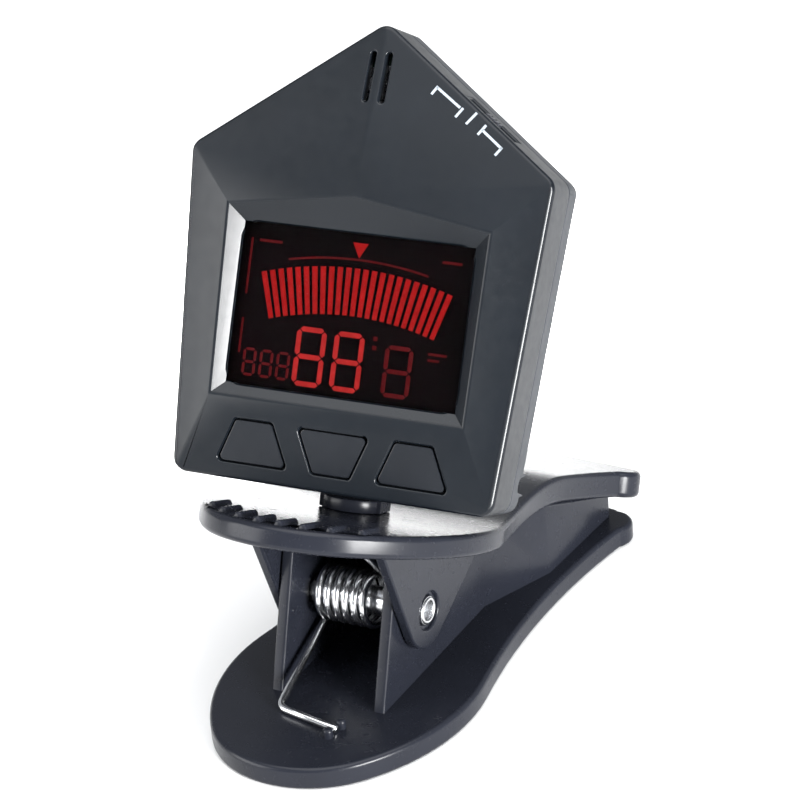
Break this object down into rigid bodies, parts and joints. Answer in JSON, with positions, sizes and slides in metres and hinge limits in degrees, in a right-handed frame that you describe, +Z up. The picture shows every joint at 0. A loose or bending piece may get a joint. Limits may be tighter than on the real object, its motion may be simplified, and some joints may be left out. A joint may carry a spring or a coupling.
{
  "type": "clip-on tuner",
  "caption": "Clip-on instrument tuner: a five-sided head with a display, buttons and slide switch, on a swivelling and tilting neck above a spring clip.",
  "frame": {"origin": "on the flat underside of the clip, straight below the middle of the pivot pin", "axes": "+X to the right across the clip, +Y along the clip from the handles towards the jaws, +Z up from the flat underside to the peak of the head"},
  "size_m": [0.0387, 0.0617, 0.0668],
  "materials": {
    "head_front": "satin",
    "head_back": "satin",
    "button": "gloss",
    "knob": "satin",
    "window": "gloss",
    "display": "gloss",
    "light_guide": "gloss",
    "board": "satin",
    "steel": "satin",
    "chrome": "polished",
    "brass": "satin",
    "clip": "gloss",
    "pad": "matte"
  },
  "bodies": {
    "lower_clip": {"lower_lever": "clip", "lower_jaw_pad": "pad", "pivot_pin": "chrome", "torsion_spring": "chrome"},
    "upper_clip": {"upper_lever": "clip", "upper_jaw_pad": "pad"},
    "neck": {"swivel_post": "clip", "swivel_washer": "steel", "swivel_screw": "steel"},
    "head": {"rear_housing": "head_back", "front_housing": "head_front", "display_window": "window", "display_panel": "display", "display_frame": "light_guide", "connector_strip": "pad", "circuit_board": "board", "button_switches": "steel", "switch_body": "steel", "microphone": "steel", "piezo_disc": "brass", "coin_cell": "steel", "cell_spring_contact": "steel", "cell_side_contact": "steel", "housing_screws": "steel", "tilt_pin": "steel"},
    "left_button": {"left_button": "button"},
    "middle_button": {"middle_button": "button"},
    "right_button": {"right_button": "button"},
    "switch_knob": {"switch_knob": "knob"},
    "battery_cap": {"battery_cap": "head_back"}
  },
  "joints": [
    {"name": "clip_hinge", "type": "hinge", "parent": "lower_clip", "child": "upper_clip", "pos_m": [0, 0, 0.0099], "axis": [1, 0, 0], "range_deg": [0, 22], "stiffness_Nm_per_rad": 0.12, "springref_deg": -51.57, "deforming": ["torsion_spring"]},
    {"name": "neck_swivel", "type": "hinge", "parent": "upper_clip", "child": "neck", "pos_m": [0, 0.0004, 0.02002], "axis": [0, 0.3827, 0.9239], "range_deg": [-53, 36]},
    {"name": "head_tilt", "type": "hinge", "parent": "neck", "child": "head", "pos_m": [0, 0.00226, 0.0245], "axis": [0.9885, 0.1397, -0.0579], "range_deg": [-60, 10]},
    {"name": "left_button_press", "type": "slide", "parent": "head", "child": "left_button", "axis": [-0.151, 0.8889, -0.4324], "range_m": [0, 0.0004], "stiffness_N_per_m": 400, "springref_m": -0.001},
    {"name": "middle_button_press", "type": "slide", "parent": "head", "child": "middle_button", "axis": [-0.151, 0.8889, -0.4324], "range_m": [0, 0.0004], "stiffness_N_per_m": 400, "springref_m": -0.001},
    {"name": "right_button_press", "type": "slide", "parent": "head", "child": "right_button", "axis": [-0.151, 0.8889, -0.4324], "range_m": [0, 0.0004], "stiffness_N_per_m": 400, "springref_m": -0.001},
    {"name": "switch_slide", "type": "slide", "parent": "head", "child": "switch_knob", "axis": [0.8051, -0.1433, -0.5756], "range_m": [-0.0015, 0.0015]},
    {"name": "battery_cap_turn", "type": "hinge", "parent": "head", "child": "battery_cap", "pos_m": [-0.00035, 0.01161, 0.04107], "axis": [-0.151, 0.8889, -0.4324], "range_deg": [0, 45]}
  ]
}
